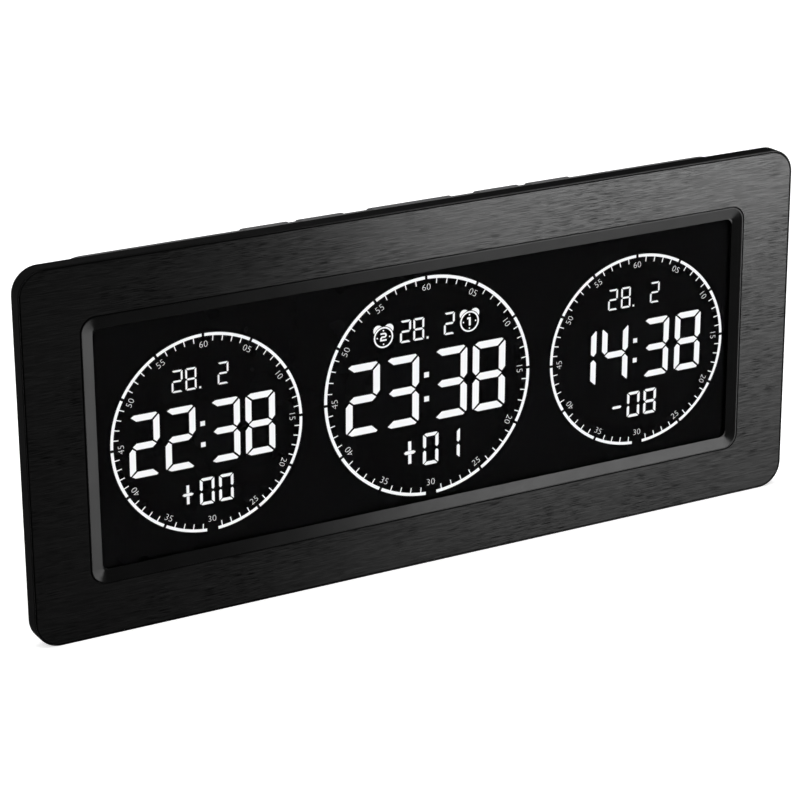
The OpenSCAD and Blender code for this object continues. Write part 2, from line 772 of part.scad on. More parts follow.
// Moulded rear housing: flange, tapered box, battery bay, foot recesses, keyholes
module rear_shell() {
    color([0.11, 0.11, 0.115]) difference() {
        union() {
            difference() {
                union() {
                    casing_form();
                    translate([0, 0, mid_z]) slab(flange_y, flange_t)
                        rounded_rect(plate_w - 2 * (edge_wall + flange_gap),
                            plate_h - 2 * (edge_wall + flange_gap), plate_r - edge_wall - flange_gap);
                }
                casing_hollow();
            }
            bay_block();
            intersection() {
                casing_form();
                for (sx = [0, 1]) mirror([sx, 0, 0]) recess_block();
            }
            for (x = key_fixing_xs) translate([x, key_y, 0])
                rod_z(key_board_top, casing_top - casing_wall / 2 - key_board_top, key_boss_r);
            for (sz = [-1, 1])
                translate([jack_wall - jack_l / 2, jack_y, jack_z + sz * (jack_w + bay_wall) / 2])
                    cube([jack_l + casing_wall, jack_w, bay_wall], center = true);
        }
        translate([0, 0, bay_mid]) {
            slab(bay_floor, bay_d + door_t + cut) square([bay_w, bay_h], center = true);
            slab(door_y, door_t + cut)
                rounded_rect(door_w + 2 * door_gap, door_h + 2 * door_gap, door_r + door_gap);
        }
        for (sx = [0, 1]) mirror([sx, 0, 0]) recess_cut();
        for (sx = [-1, 1]) translate([sx * hook_x, 0, hook_z]) keyhole();
        for (i = [0 : 4]) translate([key_xs[i], key_y, casing_top])
            cube([key_ws[i] + 2 * key_gap, key_d + 2 * key_gap, 3 * casing_wall], center = true);
        for (x = key_fixing_xs) translate([x, key_y, 0])
            rod_z(key_board_top - cut, cut + key_screw_bite + screw_r, screw_r + screw_gap);
        at_flange_fixings() {
            rod_y(flange_y - cut, flange_t + 2 * cut, screw_r + screw_play);
            rod_y(plate_back - flange_t / 3, flange_t, screw_head_r + screw_play);
        }
        translate([-buzzer_x, 0, buzzer_z]) sound_holes();
        translate([0, jack_y, jack_z]) rod_x(jack_wall - cut, 2 * casing_wall, socket_r + casing_wall / 2);
    }
}

module bay_block() {
    y = bay_floor - bay_wall;
    translate([0, 0, bay_mid]) slab(y, back_y - casing_wall / 2 - y)
        rounded_rect(door_w + 2 * bay_wall, door_h + 2 * bay_wall, door_r);
}

module recess_block() {
    y = recess_floor - recess_wall;
    translate([recess_in - recess_wall, y, 0])
        cube([recess_out - recess_in + 2 * recess_wall, back_y - y, recess_top + ear_h]);
}

// Recess for a folded foot, open below, that leaves the ear under the pin
module recess_cut() {
    difference() {
        translate([recess_in, recess_floor, -cut])
            cube([recess_out - recess_in, back_y, recess_top + cut]);
        translate([foot_x - barrel_r - foot_gap, recess_floor - cut, ear_z])
            cube([2 * (barrel_r + foot_gap) + cut, 2 * barrel_r + foot_gap + cut, ear_h]);
    }
    translate([foot_x, foot_pin_y, 0]) rod_z(0, pin_top, foot_pin_r + pin_gap);
}

module keyhole() {
    rod_y(inner_back - cut, casing_wall + 2 * cut, hook_r);
    translate([0, 0, hook_slot_l]) rod_y(inner_back - cut, casing_wall + 2 * cut, hook_slot_w / 2);
    translate([-hook_slot_w / 2, inner_back - cut, 0])
        cube([hook_slot_w, casing_wall + 2 * cut, hook_slot_l]);
}

module sound_holes() {
    rod_y(inner_back - cut, casing_wall + 2 * cut, sound_hole_r);
    for (i = [0 : sound_hole_count - 1]) rotate([0, i * 360 / sound_hole_count, 0])
        translate([sound_ring_r, 0, 0]) rod_y(inner_back - cut, casing_wall + 2 * cut, sound_hole_r);
}

module shell_screws() {
    y = plate_back - flange_t / 3;
    color("silver") at_flange_fixings() screw(y, y - glass_y);
}

// Lift-off door with a skirt inside the bay and a thumb hollow at its top
module battery_door() {
    skirt_w = bay_w - 2 * door_gap;
    skirt_h = bay_h - 2 * door_gap;
    color([0.11, 0.11, 0.115]) translate([0, 0, bay_mid]) difference() {
        slab(door_y, door_t) rounded_rect(door_w, door_h, door_r);
        translate([0, back_y + door_lap, door_h / 2 - 2 * door_lap]) rotate([0, 90, 0])
            cylinder(h = 4 * door_lap, r = door_lap + door_t / 2, center = true);
    }
    color([0.11, 0.11, 0.115]) translate([0, 0, bay_mid]) for (sx = [-1, 1])
        translate([sx * (skirt_w - door_t / 2) / 2, door_y, 0])
            cube([door_t / 2, 2 * door_skirt, skirt_h - 4 * door_lap], center = true);
}

// One cell lying along X, with its nub to the right, or to the left when turned
module cell(row, turned) {
    color([0.75, 0.6, 0.25]) translate([0, cell_y, bay_mid + row * cell_pitch])
        mirror([turned, 0, 0]) {
            rod_x(-cell_l / 2, cell_l - cell_nub_l, cell_r);
            rod_x(cell_l / 2 - cell_nub_l - cut, cell_nub_l + cut, cell_nub_r);
        }
}

module battery_cell_top() { cell(1, 0); }
module battery_cell_middle() { cell(0, 1); }
module battery_cell_bottom() { cell(-1, 0); }

// Flat contacts at the right end of the bay, one strip a cell, each with a raised pad
module contact_plate() {
    color("silver") for (row = [-1 : 1])
        translate([bay_w / 2 - contact_t / 2, cell_y, bay_mid + row * cell_pitch]) {
            cube([contact_t, contact_w, contact_w], center = true);
            rod_x(contact_t / 2 - contact_space, contact_space - contact_t / 2,
                cell_nub_r * contact_pad_share);
        }
}

// Bowed leaf contacts at the left end of the bay
module contact_springs() {
    color("silver") for (row = [-1 : 1])
        translate([-bay_w / 2, cell_y, bay_mid + row * cell_pitch - contact_w / 2]) linear_extrude(contact_w)
            polygon([[0, -contact_w / 2], [contact_t, -contact_w / 2], [contact_space, -contact_w / 8],
                [contact_space, contact_w / 8], [contact_t, contact_w / 2], [0, contact_w / 2],
                [0, contact_w / 2 - contact_t], [contact_space - contact_t, contact_w / 8 - contact_t / 2],
                [contact_space - contact_t, contact_t / 2 - contact_w / 8], [0, contact_t - contact_w / 2]]);
}

// Power jack behind the right side wall, with its round socket and centre pin
module power_jack() {
    color([0.05, 0.05, 0.05]) translate([0, jack_y, jack_z]) {
        difference() {
            union() {
                translate([jack_wall - jack_l / 2, 0, 0]) cube([jack_l, jack_w, jack_w], center = true);
                rod_x(jack_wall - cut, casing_wall + cut, socket_r + casing_wall / 2 - glass_gap);
            }
            rod_x(jack_wall + casing_wall - socket_depth, socket_depth + cut, socket_r);
        }
        rod_x(jack_wall + casing_wall / 2 - socket_depth, socket_depth, socket_pin_r);
    }
}

// A thin lead along straight runs between the listed points, overlapped at each bend
module lead(points) {
    for (i = [0 : len(points) - 2]) {
        step = points[i + 1] - points[i];
        translate(points[i]) rotate([0, acos(step[2] / norm(step)), atan2(step[1], step[0])])
            translate([0, 0, i > 0 ? -lead_r / 2 : 0])
                cylinder(h = norm(step) + (i > 0 ? lead_r / 2 : 0), r = lead_r, $fn = 8);
    }
}

// Two leads from the top of the bay up along the back of the main board
module battery_leads() {
    for (sx = [-1, 1]) color(sx < 0 ? [0.08, 0.08, 0.08] : [0.7, 0.05, 0.05])
        translate([sx * bay_w / 4, main_board_y + board_t + lead_r, 0])
            rod_z(bay_top, main_board_z + 2 * boss_r - bay_top, lead_r);
}

// Two leads from the power jack to the right end of the main board
module jack_leads() {
    y = main_board_y + board_t + lead_r;
    start_x = jack_wall - jack_l;
    end_x = main_board_w / 2 - 4 * boss_r;
    end_z = main_board_z + 2 * lead_r;
    for (s = [-1, 1]) color(s < 0 ? [0.08, 0.08, 0.08] : [0.7, 0.05, 0.05])
        lead([[start_x, jack_y, jack_z + s * jack_w / 4],
            [start_x - jack_l / 2 + s * jack_w / 4, jack_y, jack_z + s * jack_w / 4],
            [start_x - jack_l / 2 + s * jack_w / 4, y, end_z + s * lead_pitch_share * lead_r],
            [end_x, y, end_z + s * lead_pitch_share * lead_r]]);
}

// Curved blade of a foot, opened square to the back, with its hinge barrel
module foot() {
    curve_y = foot_top_w + foot_curve_r;
    color([0.1, 0.1, 0.105]) translate([foot_x, foot_pin_y, 0]) difference() {
        union() {
            bar(-foot_t / 2, foot_t) difference() {
                translate([0, pad_t]) square([foot_reach, foot_h - pad_t]);
                translate([curve_y, foot_h]) circle(foot_curve_r);
                translate([-cut, -cut]) square([foot_notch + cut, barrel_z + cut]);
            }
            rod_z(barrel_z, foot_h - barrel_z, barrel_r);
        }
        rod_z(0, foot_h + cut, foot_pin_r + pin_gap);
    }
}

module foot_right() { foot(); }
module foot_left() { mirror([1, 0, 0]) foot(); }

module foot_pins() {
    color("silver") for (sx = [-1, 1]) translate([sx * foot_x, foot_pin_y, 0])
        rod_z(ear_z, pin_top - ear_z, foot_pin_r);
}

module foot_pad() {
    color([0.03, 0.03, 0.03]) translate([foot_x - foot_t / 2, foot_pin_y + foot_reach - pad_l, 0])
        cube([foot_t, pad_l, pad_t]);
}

module foot_pad_right() { foot_pad(); }
module foot_pad_left() { mirror([1, 0, 0]) foot_pad(); }

front_bezel();
face_panel();
window_pane();
display_front_glass();
display_rear_glass();
diffuser_sheet();
light_guide();
reflector_sheet();
lamp_strips();
backlight_lamps();
display_holder();
holder_screws();
display_flex();
main_board();
board_screws();
controller_chip();
quartz_crystal();
buzzer();
key_board();
key_board_screws();
key_flex();
switch_housings();
key_outer_left();
key_inner_left();
key_centre();
key_inner_right();
key_outer_right();
stem_outer_left();
stem_inner_left();
stem_centre();
stem_inner_right();
stem_outer_right();
rear_shell();
shell_screws();
battery_door();
battery_cell_top();
battery_cell_middle();
battery_cell_bottom();
contact_plate();
contact_springs();
power_jack();
battery_leads();
jack_leads();
foot_left();
foot_right();
foot_pins();
foot_pad_left();
foot_pad_right();
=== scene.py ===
"""Looks of a wide desk and wall clock with three round display dials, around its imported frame."""
import json
import math

import bmesh
import bpy
from mathutils import Matrix, Vector


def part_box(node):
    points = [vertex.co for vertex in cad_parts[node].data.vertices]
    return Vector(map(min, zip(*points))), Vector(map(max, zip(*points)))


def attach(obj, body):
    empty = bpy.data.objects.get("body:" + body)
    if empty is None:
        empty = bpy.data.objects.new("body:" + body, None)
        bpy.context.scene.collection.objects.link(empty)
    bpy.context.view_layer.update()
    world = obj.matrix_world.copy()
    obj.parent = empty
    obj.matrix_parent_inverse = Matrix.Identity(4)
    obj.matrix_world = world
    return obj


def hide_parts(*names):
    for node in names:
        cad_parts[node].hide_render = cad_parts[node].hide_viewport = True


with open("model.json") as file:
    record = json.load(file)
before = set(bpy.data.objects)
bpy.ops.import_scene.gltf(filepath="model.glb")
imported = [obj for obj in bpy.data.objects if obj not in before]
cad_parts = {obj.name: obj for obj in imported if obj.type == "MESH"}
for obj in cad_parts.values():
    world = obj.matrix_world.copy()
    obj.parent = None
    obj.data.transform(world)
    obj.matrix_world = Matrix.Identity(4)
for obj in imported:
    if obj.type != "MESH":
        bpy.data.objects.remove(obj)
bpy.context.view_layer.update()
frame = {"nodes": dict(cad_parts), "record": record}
nodes = frame["nodes"]

MM = 0.001
WHITE = (1.0, 1.0, 1.0, 1.0)
# Vertices closer than this are one
WELD = 0.001 * MM


def add(tree, kind, sockets, **settings):
    """A new shader node. sockets says what each of its inputs is linked to or set to."""
    node = tree.nodes.new(kind)
    for name, value in settings.items():
        setattr(node, name, value)
    for key, value in sockets.items():
        if isinstance(value, bpy.types.NodeSocket):
            tree.links.new(value, node.inputs[key])
        else:
            node.inputs[key].default_value = value
    return node


# Camera, fitted to the photo

CAMERA_PLACE = Vector((-511.9, -899.7, 439.8)) * MM
CAMERA_HEADING = math.radians(29.14)
CAMERA_PITCH = math.radians(19.73)
CAMERA_ROLL = math.radians(-0.376)
CAMERA_LENS_MM = 130.13
CAMERA_SENSOR_MM = 36
CAMERA_SHIFT = (-0.0058, -0.0092)
CAMERA_RANGE = (0.05, 50)


def make_camera():
    """The main camera, with the photo's view."""
    data = bpy.data.cameras.new("camera")
    data.lens = CAMERA_LENS_MM
    data.sensor_width = CAMERA_SENSOR_MM
    data.shift_x, data.shift_y = CAMERA_SHIFT
    data.clip_start, data.clip_end = CAMERA_RANGE
    camera = bpy.data.objects.new("camera", data)
    camera.matrix_world = (
        Matrix.Translation(CAMERA_PLACE)
        @ Matrix.Rotation(-CAMERA_HEADING, 4, "Z")
        @ Matrix.Rotation(math.pi / 2 - CAMERA_PITCH, 4, "X")
        @ Matrix.Rotation(CAMERA_ROLL, 4, "Z")
    )
    bpy.context.scene.collection.objects.link(camera)
    bpy.context.scene.camera = camera


# Light, floor and background, in metres and watts

# What the pale room lights with, and what is seen of it
ROOM_FILL = 0.3
BACKGROUND = 1.0
FLOOR_SIDE = 14
FLOOR_PAINT = (0.82, 0.82, 0.82, 1)
FLOOR_GLOW = 0.6
# Distances between which the floor passes into the background
FLOOR_FADE = (0.5, 2.0)
LAMP_AIM = Vector((0, 0, 0.07))
# Name, place, width, height and watts of each lamp that shines at LAMP_AIM
SOFTBOXES = (
    ("side_softbox", (1.10, -1.22, 0.62), 0.72, 0.8, 10),
    ("top_softbox", (-0.1, -0.1, 1.7), 1.5, 1.3, 16),
    ("back_softbox", (-0.9, 1.3, 0.9), 0.9, 0.7, 10),
)
# The low strip on the right, whose sheen shows on the brushed plate
STRIP_PLACE = Vector((0.657, -0.79, 0.185))
STRIP_WAY = Vector((-0.38, 0.925, 0))
STRIP_SIZE = (0.482, 0.33)
STRIP_WATTS = 105


def seen_directly(tree):
    """1 where a camera, glossy or transmission ray looks at the background, 0 for other rays."""
    rays = tree.nodes.new("ShaderNodeLightPath").outputs
    total = rays["Is Camera Ray"]
    for ray in ("Is Glossy Ray", "Is Transmission Ray"):
        sockets = {0: total, 1: rays[ray]}
        total = add(tree, "ShaderNodeMath", sockets, operation="ADD", use_clamp=True).outputs[0]
    return total


def make_world():
    """An even pale room."""
    world = bpy.data.worlds.new("room")
    world.use_nodes = True
    tree = world.node_tree
    lit = tree.nodes["Background"]
    lit.inputs["Color"].default_value = WHITE
    lit.inputs["Strength"].default_value = ROOM_FILL
    seen = add(tree, "ShaderNodeBackground", {"Color": WHITE, "Strength": BACKGROUND})
    sockets = {0: seen_directly(tree), 1: lit.outputs[0], 2: seen.outputs[0]}
    mix = add(tree, "ShaderNodeMixShader", sockets)
    tree.links.new(mix.outputs[0], tree.nodes["World Output"].inputs["Surface"])
    bpy.context.scene.world = world


def make_floor():
    """A plain pale floor that passes into the background.

    Its own glow is only seen, and doesn't light the object."""
    mesh = bpy.data.meshes.new("floor")
    half = FLOOR_SIDE / 2
    corners = [(-half, -half, 0), (half, -half, 0), (half, half, 0), (-half, half, 0)]
    mesh.from_pydata(corners, [], [(0, 1, 2, 3)])
    floor = bpy.data.objects.new("floor", mesh)
    bpy.context.scene.collection.objects.link(floor)
    material = bpy.data.materials.new("pale_floor")
    material.use_nodes = True
    tree = material.node_tree
    tree.nodes.remove(tree.nodes["Principled BSDF"])
    paint = add(tree, "ShaderNodeBsdfDiffuse", {"Color": FLOOR_PAINT})
    sockets = {0: seen_directly(tree), 1: FLOOR_GLOW}
    glow = add(tree, "ShaderNodeMath", sockets, operation="MULTIPLY")
    shine = add(tree, "ShaderNodeEmission", {"Strength": glow.outputs[0]})
    near_floor = add(tree, "ShaderNodeAddShader", {0: paint.outputs[0], 1: shine.outputs[0]})
    like_room = add(tree, "ShaderNodeMapRange", {"To Min": ROOM_FILL, "Value": seen_directly(tree)})
    far_floor = add(tree, "ShaderNodeEmission", {"Strength": like_room.outputs[0]})
    place = tree.nodes.new("ShaderNodeTexCoord").outputs["Object"]
    length = add(tree, "ShaderNodeVectorMath", {0: place}, operation="LENGTH")
    near, far = FLOOR_FADE
    sockets = {"From Min": near, "From Max": far, "Value": length.outputs["Value"]}
    away = add(tree, "ShaderNodeMapRange", sockets, interpolation_type="SMOOTHSTEP")
    sockets = {0: away.outputs[0], 1: near_floor.outputs[0], 2: far_floor.outputs[0]}
    mix = add(tree, "ShaderNodeMixShader", sockets)
    tree.links.new(mix.outputs[0], tree.nodes["Material Output"].inputs["Surface"])
    mesh.materials.append(material)


def softbox(name, place, aim, width, height, watts):
    """An area lamp out of the camera's sight that shines towards aim."""
    data = bpy.data.lights.new(name, "AREA")
    data.shape = "RECTANGLE"
    data.size, data.size_y = width, height
    data.energy = watts
    light = bpy.data.objects.new(name, data)
    light.location = place
    light.rotation_mode = "QUATERNION"
    light.rotation_quaternion = (Vector(aim) - Vector(place)).to_track_quat("-Z", "Y")
    light.visible_camera = False
    bpy.context.scene.collection.objects.link(light)
    return light


def make_lights():
    """Three soft lamps and the strip, which only reflections show."""
    for name, place, width, height, watts in SOFTBOXES:
        softbox(name, place, LAMP_AIM, width, height, watts)
    strip = softbox("sheen_strip", STRIP_PLACE, STRIP_PLACE + STRIP_WAY, *STRIP_SIZE, STRIP_WATTS)
    strip.visible_diffuse = False
    strip.visible_transmission = False


# Materials

# Values between which nearly all of a noise texture lies
NOISE_SPAN = (0.3, 0.7)
EDGE_SAMPLES = 4
# A small sideways lean, which gives faces that look up or down a tangent too
TANGENT_LEAN = 0.02
# How far a face looks forward or back where the duller rim is full, and where it ends
RIM_SPAN = (0.3, 0.6)


def grey(level):
    """A colour without a hue."""
    return (level, level, level)


def shade(colour, factor):
    """A colour, darker or lighter by a factor."""
    return tuple(c * factor for c in colour)


class Finish:
    """A procedural material: a Principled shader fed by noise in the object's own metres."""

    def __init__(self, name, **sockets):
        self.material = bpy.data.materials.new(name)
        self.material.use_nodes = True
        self.tree = self.material.node_tree
        self.shader = self.tree.nodes["Principled BSDF"]
        for socket, value in sockets.items():
            self.shader.inputs[socket.replace("_", " ")].default_value = value
        self.coordinates = self.tree.nodes.new("ShaderNodeTexCoord").outputs
        self.normal = None

    def scaled(self, size, stretch):
        """The object's own place, in grains of size metres."""
        scale = [1 / (size * s) for s in stretch]
        sockets = {"Scale": scale, "Vector": self.coordinates["Object"]}
        return add(self.tree, "ShaderNodeMapping", sockets).outputs["Vector"]

    def noise(self, size, detail, stretch=(1, 1, 1)):
        """Noise with grains about size metres across, drawn out along each axis by stretch."""
        sockets = {"Scale": 1.0, "Detail": detail, "Vector": self.scaled(size, stretch)}
        return add(self.tree, "ShaderNodeTexNoise", sockets).outputs["Fac"]

    def cells(self, size, stretch):
        """Distance from the middle of scattered cells about size metres apart."""
        sockets = {"Scale": 1.0, "Vector": self.scaled(size, stretch)}
        return add(self.tree, "ShaderNodeTexVoronoi", sockets).outputs["Distance"]

    def spread(self, value, start, end, low=0.0, high=1.0):
        """value between start and end, spread from low to high."""
        sockets = {
            "From Min": start,
            "From Max": end,
            "To Min": low,
            "To Max": high,
            "Value": value,
        }
        return add(self.tree, "ShaderNodeMapRange", sockets).outputs["Result"]

    def even(self, texture, low=0.0, high=1.0):
        """A noise texture, spread from low to high."""
        return self.spread(texture, *NOISE_SPAN, low, high)

    def between(self, mask, low, high):
        """low where a mask is 0, high where it is 1."""
        return self.spread(mask, 0.0, 1.0, low, high)

    def maths(self, operation, *values):
        """The result of a Math node."""
        node = add(self.tree, "ShaderNodeMath", dict(enumerate(values)), operation=operation)
        return node.outputs[0]

    def axis(self, vector, name):
        """One coordinate of a vector."""
        return add(self.tree, "ShaderNodeSeparateXYZ", {0: vector}).outputs[name]

    def rim(self):
        """1 on the faces that look sideways, up or down, 0 on those that look forward or back."""
        forward = self.maths("ABSOLUTE", self.axis(self.coordinates["Normal"], "Y"))
        return self.spread(forward, *RIM_SPAN, 1.0, 0.0)

    def blend(self, factor, first, second):
        """A colour between first and second."""
        sockets = {"Factor": factor}
        # The inputs A and B of a mix of colours
        for key, colour in ((6, first), (7, second)):
            sockets[key] = (*colour, 1.0) if isinstance(colour, tuple) else colour
        return add(self.tree, "ShaderNodeMix", sockets, data_type="RGBA").outputs[2]

    def feed(self, socket, value):
        """Links a value to one of the shader's inputs."""
        self.tree.links.new(value, self.shader.inputs[socket])

    def tint(self, factor, first, second):
        """Base colour between first and second."""
        self.feed("Base Color", self.blend(factor, first, second))

    def set_normal(self, normal):
        """Links a normal to the shader and keeps it for the next relief."""
        self.normal = normal
        self.feed("Normal", normal)

    def relief(self, height, depth):
        """Bump of depth metres."""
        sockets = {"Distance": depth, "Height": height}
        if self.normal is not None:
            sockets["Normal"] = self.normal
        self.set_normal(add(self.tree, "ShaderNodeBump", sockets).outputs["Normal"])

    def soft_edges(self, radius):
        """Light that passes round the edges, without a change of shape."""
        bevel = add(self.tree, "ShaderNodeBevel", {"Radius": radius}, samples=EDGE_SAMPLES)
        self.set_normal(bevel.outputs["Normal"])

    def brushed_across(self, amount):
        """Draws highlights out upwards, as a grain that runs from side to side does."""
        upwards = add(self.tree, "ShaderNodeCombineXYZ", {"X": TANGENT_LEAN, "Z": 1.0})
        self.feed("Tangent", upwards.outputs[0])
        self.shader.inputs["Anisotropic"].default_value = amount


def moulded(name, colour, rough, grain, depth, specular=0.5, edge=0.2 * MM):
    """Injection-moulded plastic with a spark-eroded grain and faint handling marks."""
    finish = Finish(name, Specular_IOR_Level=specular)
    finish.soft_edges(edge)
    lighter = tuple(min(1.0, c * 1.25 + 0.001) for c in colour)
    finish.tint(finish.noise(9 * MM, detail=3), colour, lighter)
    marks = finish.noise(3 * MM, detail=4, stretch=(3, 1, 1))
    finish.feed("Roughness", finish.even(marks, rough - 0.05, rough + 0.05))
    finish.relief(finish.noise(grain, detail=2), depth)
    return finish.material


def plain_metal(name, colour, rough):
    """Plated metal with a fine grain."""
    finish = Finish(name, Metallic=1.0)
    finish.soft_edges(0.1 * MM)
    finish.tint(finish.noise(2 * MM, detail=3), colour, shade(colour, 0.82))
    marks = finish.noise(0.3 * MM, detail=3)
    finish.feed("Roughness", finish.even(marks, rough - 0.07, rough + 0.07))
    finish.relief(finish.noise(0.3 * MM, detail=2), 0.003 * MM)
    return finish.material


def brushed_panel(name):
    """Black anodised sheet, brushed from side to side in short strokes."""
    finish = Finish(name)
    finish.brushed_across(0.85)
    hair = finish.spread(finish.noise(0.15 * MM, detail=2, stretch=(60, 1, 1)), 0.34, 0.66)
    dashes = finish.spread(finish.noise(0.22 * MM, detail=1, stretch=(28, 1, 1)), 0.53, 0.6)
    clouds = finish.noise(20 * MM, detail=2, stretch=(1.6, 1, 1))
    marks = finish.maths("MULTIPLY", dashes, finish.spread(clouds, 0.4, 0.6, 0.35, 1.0))
    lit = finish.blend(hair, grey(0.0003), grey(0.001))
    finish.tint(marks, lit, grey(0.0002))
    finish.feed("Roughness", finish.between(hair, 0.262, 0.276))
    sheen = finish.between(hair, 0.031, 0.054)
    dulled = finish.maths("MULTIPLY", sheen, finish.between(marks, 1.0, 0.22))
    finish.feed("Specular IOR Level", dulled)
    return finish.material


def painted_shade_edge(name):
    """The panel's chamfered edge, dark and matt: painted shade that draws the shadow line of the
    gap between panel and bezel.
    """
    finish = Finish(name, Specular_IOR_Level=0.01)
    finish.tint(finish.noise(3 * MM, detail=2), grey(0.0003), grey(0.0008))
    finish.feed("Roughness", finish.even(finish.noise(0.4 * MM, detail=2), 0.7, 0.85))
    return finish.material


def plate_moulding(name):
    """Satin black moulding with a fine sideways polish in front and a duller outer rim."""
    finish = Finish(name)
    finish.soft_edges(0.25 * MM)
    finish.brushed_across(1.0)
    cloud = finish.even(finish.noise(12 * MM, detail=3))
    finish.tint(cloud, grey(0.0012), (0.002, 0.002, 0.0021))
    polish = finish.even(finish.noise(0.5 * MM, detail=3, stretch=(6, 1, 1)))
    rim = finish.rim()
    rough = finish.between(polish, 0.33, 0.37)
    finish.feed("Roughness", finish.maths("ADD", rough, finish.between(rim, 0.0, 0.3)))
    sheen = finish.between(cloud, 0.023, 0.026)
    dulled = finish.maths("MULTIPLY", sheen, finish.between(rim, 1.0, 0.2))
    finish.feed("Specular IOR Level", dulled)
    finish.relief(finish.noise(0.22 * MM, detail=2), 0.0015 * MM)
    return finish.material


def clear_pane(name, colour, ior, rough):
    """A clear sheet with the faintest haze."""
    finish = Finish(name, Transmission_Weight=1.0, IOR=ior)
    finish.tint(finish.noise(40 * MM, detail=1), colour, shade(colour, 0.97))
    finish.feed("Roughness", finish.even(finish.noise(6 * MM, detail=4), rough, rough + 0.015))
    return finish.material


def display_black(name, colour, rough, specular):
    """The black ground of the display."""
    finish = Finish(name, Specular_IOR_Level=specular)
    finish.tint(finish.noise(20 * MM, detail=2), colour, shade(colour, 1.3))
    finish.feed("Roughness", finish.even(finish.noise(4 * MM, detail=3), rough, rough + 0.05))
    return finish.material


def lit_segments(name):
    """White display segments, lit from behind with the faint unevenness of a light guide."""
    finish = Finish(
        name,
        Base_Color=(0.02, 0.02, 0.02, 1),
        Roughness=0.5,
        Specular_IOR_Level=0.1,
        Emission_Strength=0.97,
    )
    glow = finish.blend(finish.noise(30 * MM, detail=1), (0.93, 0.95, 0.97), grey(0.97))
    finish.feed("Emission Color", glow)
    return finish.material


def sheet_white(name, colour, rough):
    """Pale sheet, board or lamp body with a fine tooth."""
    finish = Finish(name, Specular_IOR_Level=0.4)
    finish.tint(finish.noise(5 * MM, detail=3), colour, shade(colour, 0.95))
    marks = finish.noise(1 * MM, detail=2)
    finish.feed("Roughness", finish.even(marks, rough - 0.05, rough + 0.05))
    finish.relief(finish.noise(0.15 * MM, detail=1), 0.003 * MM)
    return finish.material


def circuit_board(name):
    """Green solder mask over straight copper tracks."""
    finish = Finish(name, Specular_IOR_Level=0.5)
    tracks = finish.spread(finish.cells(2.4 * MM, stretch=(8, 1, 1)), 0.28, 0.34)
    fine = finish.even(finish.noise(0.6 * MM, detail=2))
    mask = finish.blend(fine, (0.012, 0.11, 0.045), (0.016, 0.13, 0.055))
    finish.tint(tracks, (0.03, 0.2, 0.085), mask)
    finish.feed("Roughness", finish.between(fine, 0.3, 0.4))
    finish.relief(tracks, 0.02 * MM)
    return finish.material


def amber_film(name):
    """Polyimide flex with copper conductors that run up the film."""
    finish = Finish(name, Specular_IOR_Level=0.6)
    lines = finish.spread(finish.noise(0.5 * MM, detail=0, stretch=(1, 60, 60)), 0.47, 0.53)
    finish.tint(lines, (0.42, 0.2, 0.035), (0.55, 0.3, 0.07))
    finish.feed("Roughness", finish.between(lines, 0.25, 0.4))
    finish.relief(lines, 0.02 * MM)
    return finish.material


def cell_sleeve(name):
    """Shrunk sleeve of a cell: copper band at one end, dark body, no lettering."""
    finish = Finish(name, Specular_IOR_Level=0.6, Metallic=0.3)
    along = finish.axis(finish.coordinates["Object"], "X")
    band = finish.spread(along, 13.5 * MM, 14 * MM)
    worn = finish.even(finish.noise(1.5 * MM, detail=4))
    body = finish.blend(worn, (0.02, 0.022, 0.025), (0.03, 0.032, 0.036))
    finish.tint(band, body, (0.6, 0.33, 0.14))
    finish.feed("Roughness", finish.between(worn, 0.28, 0.38))
    finish.relief(finish.noise(4 * MM, detail=2), 0.02 * MM)
    return finish.material


def lead_sleeve(name):
    """Red sleeve of the thin insulated leads."""
    finish = Finish(name, Specular_IOR_Level=0.4)
    worn = finish.even(finish.noise(0.8 * MM, detail=3))
    finish.tint(worn, (0.32, 0.018, 0.018), (0.4, 0.03, 0.028))
    finish.feed("Roughness", finish.between(worn, 0.45, 0.55))
    finish.relief(finish.noise(0.3 * MM, detail=2), 0.01 * MM)
    return finish.material


